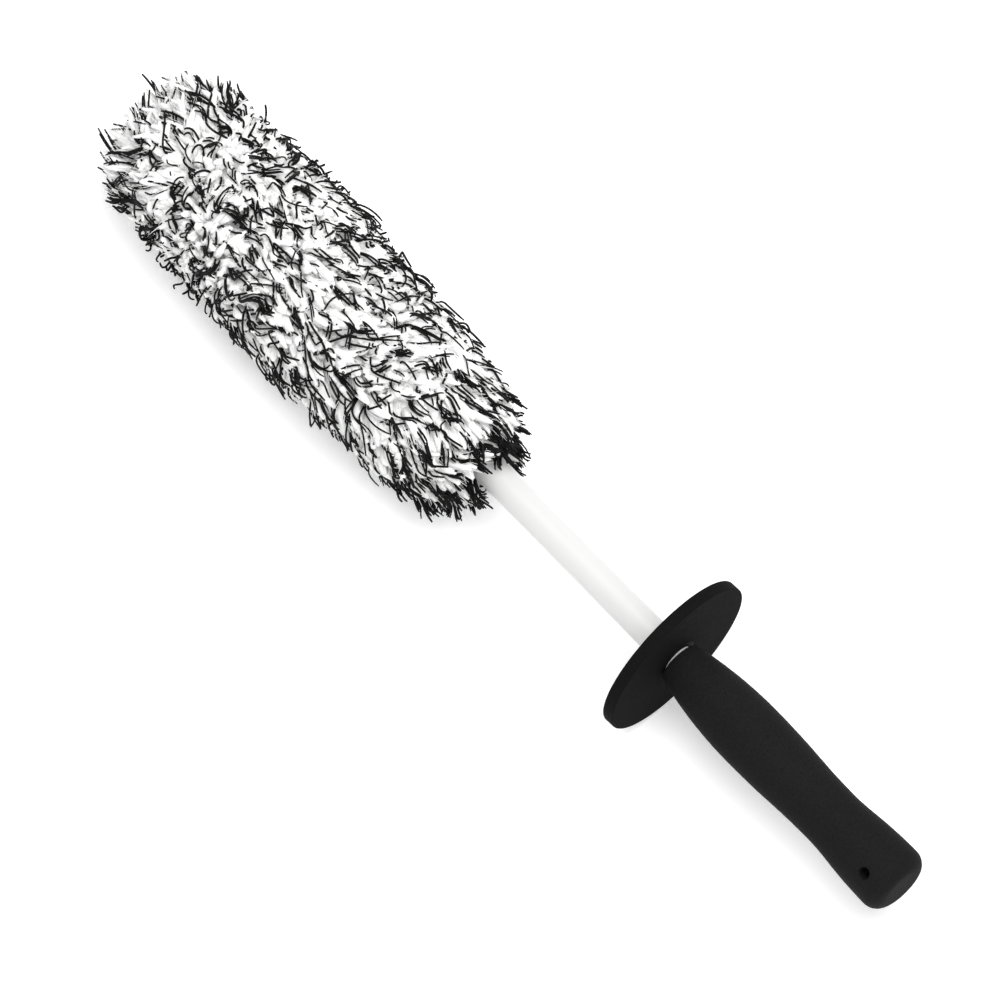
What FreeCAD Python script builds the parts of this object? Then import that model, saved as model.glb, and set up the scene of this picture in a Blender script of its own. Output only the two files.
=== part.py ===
import FreeCAD, Part
import math
import os
import re

import Sketcher

# Hand brush for cleaning car wheels.  It lies along X: the soft head points to -X and the grip to +X.
# Places along the brush are stations, counted in millimetres from the tip of the pile towards the butt.
# The origin is under the middle of the brush, on the surface that it lies on.

DIMENSIONS = {
    # the whole brush
    "total_length": (457.0, "tip of the pile to the butt of the grip"),
    "axis_height": (37.5, "shaft axis above the surface that the brush lies on"),
    # the shaft and what is fixed in its ends
    "shaft_radius": (6.9, "outside of the plastic tube"),
    "shaft_wall": (1.8, "tube wall"),
    "plug_stem": (14.0, "length of each plug inside the tube"),
    "plug_round": (2.0, "rounding of the tip plug's head"),
    "tip_plug_head": (6.0, "head of the plug at the tip end"),
    "butt_plug_head": (2.0, "head of the plug at the butt end"),
    # the foam core of the head
    "core_radius": (17.0, "outside of the foam"),
    "core_front": (22.5, "station of the foam's tip"),
    "core_joint": (38.5, "station where the domed tip pad meets the foam sleeve"),
    "core_back": (178.5, "station where the foam ends on the stop collar"),
    "core_tip_flat": (3.0, "radius of the flat on the tip pad"),
    "core_edge": (3.0, "rounding of the foam at the stop collar"),
    "collar_radius": (11.0, "outside of the stop collar"),
    "collar_length": (6.0, "stop collar along the shaft"),
    "collar_edge": (1.5, "bevel of the stop collar"),
    # the knitted sleeve that pulls on over the core
    "sleeve_gap": (0.4, "slack between the foam and the sleeve"),
    "sleeve_wall": (1.4, "thickness of the knitted backing"),
    "side_seam_angle": (9.0, "degrees round the sleeve that its lengthwise seam covers"),
    "tip_seam_width": (2.0, "seam that joins the tip panel"),
    "neck_flare": (23.6, "length over which the sleeve draws in behind the core"),
    "neck_tuck": (2.5, "edge of the neck tucked into the hem"),
    "hem_inner_radius": (7.4, "inside of the hem, close round the shaft"),
    "hem_wall": (0.9, "thickness of the binding tape"),
    "elastic_width": (3.0, "elastic along the shaft"),
    # the pile
    "pile_radius": (38.5, "reach of the fibre tips from the shaft axis"),
    "pile_tip_flat": (4.5, "radius of the flat at the tip of the pile"),
    "pile_taper": (150.0, "station where the pile starts to draw in towards the mouth"),
    "pile_taper_radius": (130.0, "radius of the curve of that taper, seen from the side"),
    "pile_mouth": (208.0, "station where the rounding at the mouth starts"),
    "pile_end": (220.0, "station of the last fibre ends round the shaft"),
    "pile_end_radius": (12.0, "reach of the fibres at that end"),
    "pile_end_round": (13.0, "rounding at the mouth"),
    # the hand guard
    "guard_radius": (37.5, "outside of the disc"),
    "guard_thickness": (5.3, "disc along the shaft"),
    "guard_round": (0.6, "rounding of the rim"),
    "guard_station": (317.7, "station of the disc's head-side face"),
    "guard_lean": (2.9, "degrees that the disc sits out of square on the shaft"),
    "guard_lean_roll": (1.0, "degrees round the shaft of the axis that it leans about"),
    "grommet_radius": (9.5, "seat of the grommet's flanges in the disc"),
    "grommet_waist": (8.3, "hole in the middle of the disc"),
    "grommet_flange": (1.2, "thickness of each flange of the grommet"),
    "running_gap": (0.05, "clearance of each running fit, on the radius"),
    # the grip
    "grip_station": (324.2, "station of the grip's front face"),
    "grip_front_radius": (9.8, "outside of the grip's front end"),
    "grip_front_round": (1.0, "rounding of that end"),
    "swell_place": (43.7, "front face to the palm swell"),
    "swell_radius": (14.45, "outside at the palm swell"),
    "waist_place": (90.0, "front face to the waist"),
    "waist_radius": (12.9, "outside at the waist"),
    "butt_radius": (15.0, "outside at the butt"),
    "butt_round": (6.5, "rounding of the butt"),
    "grip_bore_stop": (24.0, "solid butt left behind the shaft's bore"),
    # the hang hole
    "hang_hole_radius": (2.4, "radius of the hole through the butt"),
    "hang_hole_inset": (11.9, "centre of the hole to the end of the butt"),
    "hang_hole_roll": (43.2, "degrees round the shaft that the hole is turned from upright"),
    "hang_hole_lip": (1.1, "rounding of the hole's two mouths"),
}

ALONG = FreeCAD.Vector(1, 0, 0)
doc = FreeCAD.newDocument("WheelBrush")
sheet = doc.addObject("Spreadsheet::Sheet", "Sizes")


def fill_sheet():
    for row, (alias, (size, meaning)) in enumerate(DIMENSIONS.items(), start=1):
        sheet.set(f"A{row}", alias)
        sheet.set(f"B{row}", str(size))
        sheet.set(f"C{row}", meaning)
        sheet.setAlias(f"B{row}", alias)
    doc.recompute()


def bound(formula):
    """The formula with each name of a size turned into a reference to its cell."""
    return re.sub(r"[a-z_]+", lambda word: cell(word.group()), formula)


def cell(word):
    return f"Sizes.{word}" if word in DIMENSIONS else word


def value(formula):
    """The formula's value in millimetres or degrees."""
    return float(sheet.evalExpression(bound(formula)))


# ---- outlines -------------------------------------------------------------------------------------------
# An outline is a closed list of corners (x, radius).  A third and fourth entry make the edge that leads to
# the corner an arc of that radius, which turns left (+1) or right (-1) on its way.


def arc_centre(start, end, radius, turn):
    half = (end - start) * 0.5
    rise = math.sqrt(max(radius**2 - half.Length**2, 0.0))
    left = FreeCAD.Vector(-half.y, half.x, 0).normalize()
    return start + half + left * (rise * turn)


def edge_shape(start, end, bend):
    """The edge, and which of its two ends (1 or 2) lies at the start of the outline's step."""
    if not bend:
        return Part.LineSegment(start, end), 1
    radius, turn = value(bend[0]), bend[1]
    centre = arc_centre(start, end, radius, turn)
    angles = [math.atan2(p.y - centre.y, p.x - centre.x) for p in (start, end)]
    first = 1 if turn > 0 else 2
    circle = Part.Circle(centre, FreeCAD.Vector(0, 0, 1), radius)
    return Part.ArcOfCircle(circle, *(angles if turn > 0 else reversed(angles))), first


def bind_point(sketch, edge, end, axis, formula):
    """Holds one coordinate of an edge's end at a formula, measured from the sketch's origin."""
    if value(formula) == 0:
        other_axis = -2 if axis == "DistanceX" else -1
        sketch.addConstraint(Sketcher.Constraint("PointOnObject", edge, end, other_axis))
        return
    number = sketch.addConstraint(Sketcher.Constraint(axis, -1, 1, edge, end, value(formula)))
    sketch.setExpression(f"Constraints[{number}]", bound(formula))


def draw_outline(sketch, outline):
    corners = [FreeCAD.Vector(value(corner[0]), value(corner[1]), 0) for corner in outline]
    steps = []
    for i, corner in enumerate(outline):
        shape, first = edge_shape(corners[i - 1], corners[i], corner[2:])
        edge = sketch.addGeometry(shape, False)
        steps.append((edge, first, 3 - first))
        bind_point(sketch, edge, 3 - first, "DistanceX", corner[0])
        bind_point(sketch, edge, 3 - first, "DistanceY", corner[1])
        if corner[2:]:
            number = sketch.addConstraint(Sketcher.Constraint("Radius", edge, value(corner[2])))
            sketch.setExpression(f"Constraints[{number}]", bound(corner[2]))
    for before, after in zip(steps, steps[1:] + steps[:1]):
        sketch.addConstraint(Sketcher.Constraint("Coincident", before[0], before[2], after[0], after[1]))


# ---- bodies ---------------------------------------------------------------------------------------------


def origin_plane(body, role):
    return next(feature for feature in body.Origin.OriginFeatures if feature.Role == role)


def new_sketch(body, name, role):
    sketch = body.newObject("Sketcher::SketchObject", name)
    sketch.AttachmentSupport = [(origin_plane(body, role), "")]
    sketch.MapMode = "FlatFace"
    return sketch


def place(piece, station):
    """Puts a piece's own origin on the shaft axis at a station."""
    piece.setExpression("Placement.Base.x", bound(f"{station} - total_length / 2"))
    piece.setExpression("Placement.Base.z", bound("axis_height"))


def turned(label, station, outline, sweep="360"):
    """A piece turned about the shaft axis, its own origin at a station."""
    body = doc.addObject("PartDesign::Body", label)
    body.Label = label
    sketch = new_sketch(body, f"{label}_outline", "XY_Plane")
    draw_outline(sketch, outline)
    revolution = body.newObject("PartDesign::Revolution", f"{label}_turn")
    revolution.Profile = sketch
    revolution.ReferenceAxis = (sketch, ["H_Axis"])
    revolution.setExpression("Angle", bound(sweep))
    sketch.Visibility = False
    place(body, station)
    doc.recompute()
    return body


def tube(label, station, inner, outer, length, sweep="360"):
    outline = [("0", inner), (length, inner), (length, outer), ("0", outer)]
    return turned(label, station, outline, sweep)


def ogee_sum(length, drop):
    """Two tangent arcs that join level runs, length apart and drop apart, have radii of this sum."""
    return f"(({length})^2 + ({drop})^2) / (2 * ({drop}))"


# ---- shaft ----------------------------------------------------------------------------------------------

SHAFT_BORE = "shaft_radius - shaft_wall"
SHAFT_END = "total_length - grip_bore_stop - butt_plug_head"


def make_shaft():
    return tube("shaft_tube", "core_joint", SHAFT_BORE, "shaft_radius", f"{SHAFT_END} - core_joint")


def make_shaft_tip_plug():
    full = "tip_plug_head + plug_stem"
    return turned("shaft_tip_plug", "core_joint - tip_plug_head", [
        ("0", "0"),
        ("0", "shaft_radius - plug_round"),
        ("plug_round", "shaft_radius", "plug_round", -1),
        ("tip_plug_head", "shaft_radius"),
        ("tip_plug_head", SHAFT_BORE),
        (full, SHAFT_BORE),
        (full, "0"),
    ])


def make_shaft_butt_plug():
    full = "plug_stem + butt_plug_head"
    return turned("shaft_butt_plug", f"{SHAFT_END} - plug_stem", [
        ("0", "0"),
        ("0", SHAFT_BORE),
        ("plug_stem", SHAFT_BORE),
        ("plug_stem", "shaft_radius"),
        (full, "shaft_radius"),
        (full, "0"),
    ])


# ---- foam core ------------------------------------------------------------------------------------------


def make_core_sleeve():
    length = "core_back - core_joint"
    return turned("core_sleeve", "core_joint", [
        ("0", "shaft_radius"),
        ("0", "core_radius"),
        (f"{length} - core_edge", "core_radius"),
        (length, "core_radius - core_edge", "core_edge", -1),
        (length, "shaft_radius"),
    ])


def make_core_tip_pad():
    length = "core_joint - core_front"
    dome = "core_radius - core_tip_flat"
    return turned("core_tip_pad", "core_front", [
        ("0", "0"),
        ("0", "core_tip_flat"),
        (dome, "core_radius", dome, -1),
        (length, "core_radius"),
        (length, "shaft_radius"),
        (f"{length} - tip_plug_head", "shaft_radius"),
        (f"{length} - tip_plug_head", "0"),
    ])


def make_core_stop_collar():
    return turned("core_stop_collar", "core_back", [
        ("0", "shaft_radius"),
        ("0", "collar_radius"),
        ("collar_length - collar_edge", "collar_radius"),
        ("collar_length", "collar_radius - collar_edge"),
        ("collar_length", "shaft_radius"),
    ])


# ---- knitted sleeve -------------------------------------------------------------------------------------

SLEEVE_INNER = "core_radius + sleeve_gap"
SLEEVE_OUTER = "core_radius + sleeve_gap + sleeve_wall"
SLEEVE_START = "core_joint + tip_seam_width"
NECK_INNER = "hem_inner_radius + hem_wall"
NECK_OUTER = "hem_inner_radius + hem_wall + sleeve_wall"
HEM_OUTER = "hem_inner_radius + 2 * hem_wall + sleeve_wall"
HEM_LENGTH = "neck_tuck + elastic_width + hem_wall"
HEM_STATION = "core_back + neck_flare"


def make_cover_backing():
    length = f"core_back - ({SLEEVE_START})"
    sweep = "360 - side_seam_angle"
    return tube("cover_backing", SLEEVE_START, SLEEVE_INNER, SLEEVE_OUTER, length, sweep)


def make_cover_side_seam():
    length = f"core_back - ({SLEEVE_START})"
    seam = tube("cover_side_seam", SLEEVE_START, SLEEVE_INNER, SLEEVE_OUTER, length, "side_seam_angle")
    seam.Placement = FreeCAD.Placement(seam.Placement.Base, FreeCAD.Rotation(ALONG, -1))
    seam.setExpression("Placement.Rotation.Angle", bound("-side_seam_angle"))
    return seam


def make_cover_tip_seam():
    return tube("cover_tip_seam", "core_joint", SLEEVE_INNER, SLEEVE_OUTER, "tip_seam_width")


def make_cover_tip_panel():
    inner_dome = f"{SLEEVE_INNER} - core_tip_flat"
    outer_dome = f"{SLEEVE_OUTER} - core_tip_flat"
    length = "core_joint - core_front + sleeve_gap + sleeve_wall"
    return turned("cover_tip_panel", "core_front - sleeve_gap - sleeve_wall", [
        ("0", "0"),
        ("0", "core_tip_flat"),
        (outer_dome, SLEEVE_OUTER, outer_dome, -1),
        (length, SLEEVE_OUTER),
        (length, SLEEVE_INNER),
        (outer_dome, SLEEVE_INNER),
        ("sleeve_wall", "core_tip_flat", inner_dome, 1),
        ("sleeve_wall", "0"),
    ])


def make_cover_neck():
    end = "neck_flare + neck_tuck"
    drop = f"({SLEEVE_OUTER}) - ({NECK_OUTER})"
    bend = f"{ogee_sum('neck_flare', drop)} / 2"
    return turned("cover_neck", "core_back", [
        ("0", SLEEVE_INNER, bend, 1),
        ("0", SLEEVE_OUTER),
        ("neck_flare / 2", f"({SLEEVE_OUTER} + {NECK_OUTER}) / 2", bend, -1),
        ("neck_flare", NECK_OUTER, bend, 1),
        (end, NECK_OUTER),
        (end, NECK_INNER),
        ("neck_flare", NECK_INNER),
        ("neck_flare / 2", f"({SLEEVE_INNER} + {NECK_INNER}) / 2", bend, -1),
    ])


def make_cover_mouth_hem():
    pocket = "neck_tuck + elastic_width"
    return turned("cover_mouth_hem", HEM_STATION, [
        ("0", "hem_inner_radius"),
        (HEM_LENGTH, "hem_inner_radius"),
        (HEM_LENGTH, HEM_OUTER),
        ("0", HEM_OUTER),
        ("0", NECK_OUTER),
        (pocket, NECK_OUTER),
        (pocket, NECK_INNER),
        ("0", NECK_INNER),
    ])


def make_cover_elastic():
    return tube("cover_elastic", f"{HEM_STATION} + neck_tuck", NECK_INNER, NECK_OUTER, "elastic_width")


# ---- pile -----------------------------------------------------------------------------------------------


def taper_reach(distance):
    """How far the pile reaches from the axis, a distance behind the start of its taper."""
    return f"pile_radius - pile_taper_radius + sqrt(pile_taper_radius^2 - ({distance})^2)"


def flattened(label, blank, floor):
    """The blank cut off level with the surface that the pile is pressed on."""
    cut = doc.addObject("Part::Cut", label)
    cut.Label = label
    cut.Base = blank
    cut.Tool = floor
    doc.recompute()
    return cut


def make_floor():
    floor = doc.addObject("Part::Box", "resting_surface")
    floor.setExpression("Length", bound("total_length"))
    floor.setExpression("Width", bound("2 * pile_radius"))
    floor.setExpression("Height", bound("axis_height"))
    floor.setExpression("Placement.Base.x", bound("-total_length / 2"))
    floor.setExpression("Placement.Base.y", bound("-pile_radius"))
    floor.setExpression("Placement.Base.z", bound("-axis_height"))
    doc.recompute()
    return floor


def make_pile_tip(floor):
    panel_front = "core_front - sleeve_gap - sleeve_wall"
    inner_dome = f"{SLEEVE_OUTER} - core_tip_flat"
    outer_dome = "pile_radius - pile_tip_flat"
    blank = turned("pile_tip_blank", "0", [
        ("0", "0"),
        ("0", "pile_tip_flat"),
        (outer_dome, "pile_radius", outer_dome, -1),
        (SLEEVE_START, "pile_radius"),
        (SLEEVE_START, SLEEVE_OUTER),
        (f"{panel_front} + {inner_dome}", SLEEVE_OUTER),
        (panel_front, "core_tip_flat", inner_dome, 1),
        (panel_front, "0"),
    ])
    return flattened("pile_tip", blank, floor)


def make_pile_body(floor):
    start = f"({SLEEVE_START})"
    blank = turned("pile_body_blank", SLEEVE_START, [
        ("0", SLEEVE_OUTER),
        ("0", "pile_radius"),
        (f"pile_taper - {start}", "pile_radius"),
        (f"core_back - {start}", taper_reach("core_back - pile_taper"), "pile_taper_radius", -1),
        (f"core_back - {start}", SLEEVE_OUTER),
    ])
    return flattened("pile_body", blank, floor)


def make_pile_skirt():
    drop = f"({SLEEVE_OUTER}) - ({NECK_OUTER})"
    bend = f"{ogee_sum('neck_flare', drop)} / 2"
    return turned("pile_skirt", "core_back", [
        ("0", SLEEVE_OUTER, bend, 1),
        ("0", taper_reach("core_back - pile_taper")),
        ("pile_mouth - core_back", taper_reach("pile_mouth - pile_taper"), "pile_taper_radius", -1),
        ("pile_end - core_back", "pile_end_radius", "pile_end_round", -1),
        ("pile_end - core_back", "hem_inner_radius"),
        (f"neck_flare + {HEM_LENGTH}", "hem_inner_radius"),
        (f"neck_flare + {HEM_LENGTH}", HEM_OUTER),
        ("neck_flare", HEM_OUTER),
        ("neck_flare", NECK_OUTER),
        ("neck_flare / 2", f"({SLEEVE_OUTER} + {NECK_OUTER}) / 2", bend, -1),
    ])


# ---- hand guard -----------------------------------------------------------------------------------------


def lean(piece):
    """Sets a piece out of square on the shaft, as the guard sits."""
    piece.Placement = FreeCAD.Placement(piece.Placement.Base, FreeCAD.Rotation(FreeCAD.Vector(0, 0, 1), 1))
    piece.setExpression("Placement.Rotation.Axis.y", bound("-sin(guard_lean_roll)"))
    piece.setExpression("Placement.Rotation.Axis.z", bound("cos(guard_lean_roll)"))
    piece.setExpression("Placement.Rotation.Angle", bound("guard_lean"))
    doc.recompute()


def make_guard_disc():
    inner_edge = "guard_thickness - grommet_flange"
    disc = turned("guard_disc", "guard_station", [
        ("0", "grommet_radius"),
        ("0", "guard_radius - guard_round"),
        ("guard_round", "guard_radius", "guard_round", -1),
        ("guard_thickness - guard_round", "guard_radius"),
        ("guard_thickness", "guard_radius - guard_round", "guard_round", -1),
        ("guard_thickness", "grommet_radius"),
        (inner_edge, "grommet_radius"),
        (inner_edge, "grommet_waist"),
        ("grommet_flange", "grommet_waist"),
        ("grommet_flange", "grommet_radius"),
    ])
    lean(disc)
    return disc


def make_guard_grommet():
    flange = "grommet_flange - running_gap"
    far_flange = "guard_thickness - grommet_flange + running_gap"
    blank = turned("grommet_blank", "guard_station", [
        ("0", "0"),
        ("0", "grommet_radius - running_gap"),
        (flange, "grommet_radius - running_gap"),
        (flange, "grommet_waist - running_gap"),
        (far_flange, "grommet_waist - running_gap"),
        (far_flange, "grommet_radius - running_gap"),
        ("guard_thickness", "grommet_radius - running_gap"),
        ("guard_thickness", "0"),
    ])
    lean(blank)
    bore = doc.addObject("Part::Cylinder", "grommet_bore")
    bore.Placement = FreeCAD.Placement(FreeCAD.Vector(), FreeCAD.Rotation(FreeCAD.Vector(0, 1, 0), 90))
    bore.setExpression("Radius", bound("shaft_radius + running_gap"))
    bore.setExpression("Height", bound("3 * guard_thickness"))
    place(bore, "guard_station - guard_thickness")
    grommet = doc.addObject("Part::Cut", "guard_grommet")
    grommet.Label = "guard_grommet"
    grommet.Base = blank
    grommet.Tool = bore
    doc.recompute()
    return grommet


# ---- grip -----------------------------------------------------------------------------------------------

GRIP_LENGTH = "total_length - grip_station"
WAIST_SPLIT_FRONT = 0.585
WAIST_SPLIT_BACK = 0.35


def between(start, end, share):
    return f"{start} + {share} * ({end} - ({start}))"


def grip_outline():
    bore_end = f"{GRIP_LENGTH} - grip_bore_stop"
    butt_place = f"{GRIP_LENGTH} - butt_round"
    front_arc = ogee_sum("swell_place - grip_front_round", "swell_radius - grip_front_radius")
    front_ogee = ogee_sum("waist_place - swell_place", "swell_radius - waist_radius")
    back_ogee = ogee_sum(f"{butt_place} - waist_place", "butt_radius - waist_radius")
    return [
        ("0", "shaft_radius"),
        ("0", "grip_front_radius - grip_front_round"),
        ("grip_front_round", "grip_front_radius", "grip_front_round", -1),
        ("swell_place", "swell_radius", front_arc, -1),
        (
            between("swell_place", "waist_place", WAIST_SPLIT_FRONT),
            between("swell_radius", "waist_radius", WAIST_SPLIT_FRONT),
            f"{WAIST_SPLIT_FRONT} * {front_ogee}",
            -1,
        ),
        ("waist_place", "waist_radius", f"{1 - WAIST_SPLIT_FRONT} * {front_ogee}", 1),
        (
            between("waist_place", butt_place, WAIST_SPLIT_BACK),
            between("waist_radius", "butt_radius", WAIST_SPLIT_BACK),
            f"{WAIST_SPLIT_BACK} * {back_ogee}",
            1,
        ),
        (butt_place, "butt_radius", f"{1 - WAIST_SPLIT_BACK} * {back_ogee}", -1),
        (GRIP_LENGTH, "butt_radius - butt_round", "butt_round", -1),
        (GRIP_LENGTH, "0"),
        (bore_end, "0"),
        (bore_end, "shaft_radius"),
    ]


def hole_mouths(shape):
    """Names of the edges where the hang hole breaks through the grip's outside."""
    centre = value(f"{GRIP_LENGTH} - hang_hole_inset")
    reach = value("hang_hole_radius") * 1.2
    names = []
    for number, edge in enumerate(shape.Edges, start=1):
        box = edge.BoundBox
        if abs(box.Center.x - centre) < reach and box.XLength < 2 * reach and edge.Length > reach:
            names.append(f"Edge{number}")
    return names


def make_grip():
    grip = turned("grip", "grip_station", grip_outline())
    solid = grip.Shape.Volume
    sketch = new_sketch(grip, "hang_hole_outline", "XY_Plane")
    sketch.AttachmentOffset = FreeCAD.Placement(FreeCAD.Vector(), FreeCAD.Rotation(ALONG, 1))
    sketch.setExpression("AttachmentOffset.Rotation.Angle", bound("hang_hole_roll"))
    circle = Part.Circle(FreeCAD.Vector(value(f"{GRIP_LENGTH} - hang_hole_inset"), 0, 0),
                         FreeCAD.Vector(0, 0, 1), value("hang_hole_radius"))
    edge = sketch.addGeometry(circle, False)
    bind_point(sketch, edge, 3, "DistanceX", f"{GRIP_LENGTH} - hang_hole_inset")
    bind_point(sketch, edge, 3, "DistanceY", "0")
    number = sketch.addConstraint(Sketcher.Constraint("Radius", edge, value("hang_hole_radius")))
    sketch.setExpression(f"Constraints[{number}]", bound("hang_hole_radius"))
    hole = grip.newObject("PartDesign::Pocket", "hang_hole")
    hole.Profile = sketch
    hole.Type = "ThroughAll"
    hole.Midplane = True
    doc.recompute()
    if grip.Shape.Volume > solid - 1:
        raise RuntimeError("the hang hole cut nothing")
    lips = grip.newObject("PartDesign::Fillet", "hang_hole_lips")
    lips.Base = (hole, hole_mouths(hole.Shape))
    lips.setExpression("Radius", bound("hang_hole_lip"))
    doc.recompute()
    return grip


# ---- the model ------------------------------------------------------------------------------------------


def make_all():
    fill_sheet()
    floor = make_floor()
    return [
        make_shaft(),
        make_shaft_tip_plug(),
        make_shaft_butt_plug(),
        make_core_sleeve(),
        make_core_tip_pad(),
        make_core_stop_collar(),
        make_cover_backing(),
        make_cover_side_seam(),
        make_cover_tip_seam(),
        make_cover_tip_panel(),
        make_cover_neck(),
        make_cover_mouth_hem(),
        make_cover_elastic(),
        make_pile_tip(floor),
        make_pile_body(floor),
        make_pile_skirt(),
        make_guard_grommet(),
        make_guard_disc(),
        make_grip(),
    ]


def check(pieces):
    doc.recompute()
    for thing in doc.Objects:
        if {"Invalid", "Error"} & set(thing.State):
            raise RuntimeError(f"{thing.Name} failed: {thing.State}")
    for piece in pieces:
        if piece.Shape.isNull() or not piece.Shape.isValid() or len(piece.Shape.Solids) != 1:
            raise RuntimeError(f"{piece.Label} has no sound solid")


def write(pieces):
    os.makedirs("parts", exist_ok=True)
    for piece in pieces:
        piece.Shape.exportStep(f"parts/{piece.Label}.step")
        print(f"{piece.Label}: {piece.Shape.Volume:.0f} mm3")


pieces = make_all()
check(pieces)
write(pieces)
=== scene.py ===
"""Looks of a hand wheel brush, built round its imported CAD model.

The brush lies along X: the soft head is at -X, the butt of the grip at +X. Metres throughout.
"""

import math

import bpy
import numpy as np
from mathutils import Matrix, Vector, noise


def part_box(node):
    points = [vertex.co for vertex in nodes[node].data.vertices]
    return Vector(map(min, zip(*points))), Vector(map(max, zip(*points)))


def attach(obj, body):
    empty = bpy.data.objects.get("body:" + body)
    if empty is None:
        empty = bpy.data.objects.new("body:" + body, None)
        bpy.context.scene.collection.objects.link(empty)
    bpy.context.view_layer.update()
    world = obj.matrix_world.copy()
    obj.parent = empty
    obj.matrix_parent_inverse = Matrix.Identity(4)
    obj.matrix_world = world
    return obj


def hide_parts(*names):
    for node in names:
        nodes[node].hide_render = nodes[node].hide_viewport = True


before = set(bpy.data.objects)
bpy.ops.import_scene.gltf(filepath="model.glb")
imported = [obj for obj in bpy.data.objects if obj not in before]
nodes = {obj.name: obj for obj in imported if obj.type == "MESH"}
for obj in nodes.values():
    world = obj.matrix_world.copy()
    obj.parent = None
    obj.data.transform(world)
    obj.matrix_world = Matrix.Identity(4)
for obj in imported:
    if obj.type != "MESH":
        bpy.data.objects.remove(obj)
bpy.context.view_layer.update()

MM = 0.001
TURN = 2 * math.pi
CAMERA_AZIMUTH, CAMERA_ELEVATION = 47.8, 67.7
CAMERA_DISTANCE, CAMERA_LENS = 12.0, 1069.0
CAMERA_TARGET = Vector((-5.55, -5.52, 35.3)) * MM
LIGHT_TARGET = Vector((0, 0, 0.03))

shaft_low, shaft_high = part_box("shaft_tube")
AXIS_Z = (shaft_low.z + shaft_high.z) / 2
SHAFT_RADIUS = (shaft_high.z - shaft_low.z) / 2
# The play between pieces that fit each other, and how thick the knitted cloth is.
FIT = 0.05 * MM
KNIT_WALL = 1.4 * MM


def grey(level):
    return (level, level, level)


# ---------------------------------------------------------------- materials


class Material:
    """A node material on the Principled shader. The object's own coordinates drive every pattern."""

    def __init__(self, name, roughness=0.5, **plain):
        self.made = bpy.data.materials.new(name)
        self.made.use_nodes = True
        self.tree = self.made.node_tree
        self.shader = self.tree.nodes["Principled BSDF"]
        self.shader.inputs["Roughness"].default_value = roughness
        for key, number in plain.items():
            self.shader.inputs[key.replace("_", " ")].default_value = number
        self.space = self.tree.nodes.new("ShaderNodeTexCoord").outputs["Object"]

    def node(self, kind, ins=(), **settings):
        made = self.tree.nodes.new(kind)
        for key, setting in settings.items():
            setattr(made, key, setting)
        for key, source in dict(ins).items():
            if isinstance(source, bpy.types.NodeSocket):
                self.tree.links.new(source, made.inputs[key])
            else:
                made.inputs[key].default_value = source
        return made

    def stretched(self, scale):
        return self.node("ShaderNodeMapping", {"Vector": self.space, "Scale": scale}).outputs[0]

    def noise(self, scale, detail=3, rough=0.55, stretch=None):
        vector = self.stretched(stretch) if stretch else self.space
        ins = {"Vector": vector, "Scale": scale, "Detail": detail, "Roughness": rough}
        return self.node("ShaderNodeTexNoise", ins).outputs["Fac"]

    def cells(self, scale, feature="F1"):
        ins = {"Vector": self.space, "Scale": scale}
        return self.node("ShaderNodeTexVoronoi", ins, feature=feature).outputs["Distance"]

    def wave(self, scale, axis, distortion=0.0):
        ins = {"Vector": self.space, "Scale": scale, "Distortion": distortion}
        return self.node("ShaderNodeTexWave", ins, bands_direction=axis).outputs["Fac"]

    def attribute(self, name):
        return self.node("ShaderNodeAttribute", attribute_name=name).outputs["Fac"]

    def span(self, source, low, high, from_low=0.0, from_high=1.0):
        ins = {"Value": source, "From Min": from_low, "From Max": from_high, "To Min": low, "To Max": high}
        return self.node("ShaderNodeMapRange", ins).outputs["Result"]

    def ramp(self, source, *stops):
        made = self.node("ShaderNodeValToRGB", {"Fac": source})
        elements = made.color_ramp.elements
        while len(elements) < len(stops):
            elements.new(0.5)
        for element, (place, colour) in zip(elements, stops, strict=True):
            element.position = place
            element.color = (*colour, 1)
        return made.outputs["Color"]

    def shade(self, colour, by, strength):
        """colour multiplied by a grey that runs from 1 - strength to 1."""
        # The mix node has sockets of each data type, and these are its colour sockets by number.
        first, second, result = 6, 7, 2
        ins = {"Factor": 1.0, first: colour, second: self.span(by, 1 - strength, 1.0)}
        made = self.node("ShaderNodeMix", ins, data_type="RGBA", blend_type="MULTIPLY")
        return made.outputs[result]

    def bump(self, height, distance, strength=1.0, before=None):
        ins = {"Height": height, "Distance": distance, "Strength": strength}
        if before is not None:
            ins["Normal"] = before
        return self.node("ShaderNodeBump", ins).outputs["Normal"]

    def finish(self, colour=None, roughness=None, normal=None):
        for key, source in (("Base Color", colour), ("Roughness", roughness), ("Normal", normal)):
            if source is not None:
                self.tree.links.new(source, self.shader.inputs[key])
        return self.made


def white_fibre():
    m = Material("white_fibre", 0.8, Sheen_Weight=0.25, Sheen_Roughness=0.6)
    tint = m.attribute("tint")
    colour = m.ramp(tint, (0.0, (0.8, 0.8, 0.795)), (0.4, (0.92, 0.92, 0.915)), (1.0, (0.97, 0.97, 0.965)))
    # Painted shade: each fibre darkens towards its root, deep in the pile where shade falls.
    colour = m.shade(colour, m.span(m.attribute("reach"), 0.0, 1.0, 0.1, 0.6), 0.2)
    colour = m.shade(colour, m.noise(160), 0.05)
    rough = m.span(m.noise(400), 0.7, 0.95)
    return m.finish(colour, rough, m.bump(m.noise(3500, 2), 0.00008, 0.5))


def black_fibre():
    m = Material("black_fibre", 0.6, Specular_IOR_Level=0.12)
    tint = m.attribute("tint")
    colour = m.ramp(tint, (0.0, grey(0.002)), (0.7, grey(0.005)), (1.0, grey(0.012)))
    colour = m.shade(colour, m.noise(300), 0.4)
    rough = m.span(m.noise(900), 0.4, 0.7)
    return m.finish(colour, rough, m.bump(m.noise(5000, 2), 0.00006, 0.6))


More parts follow.
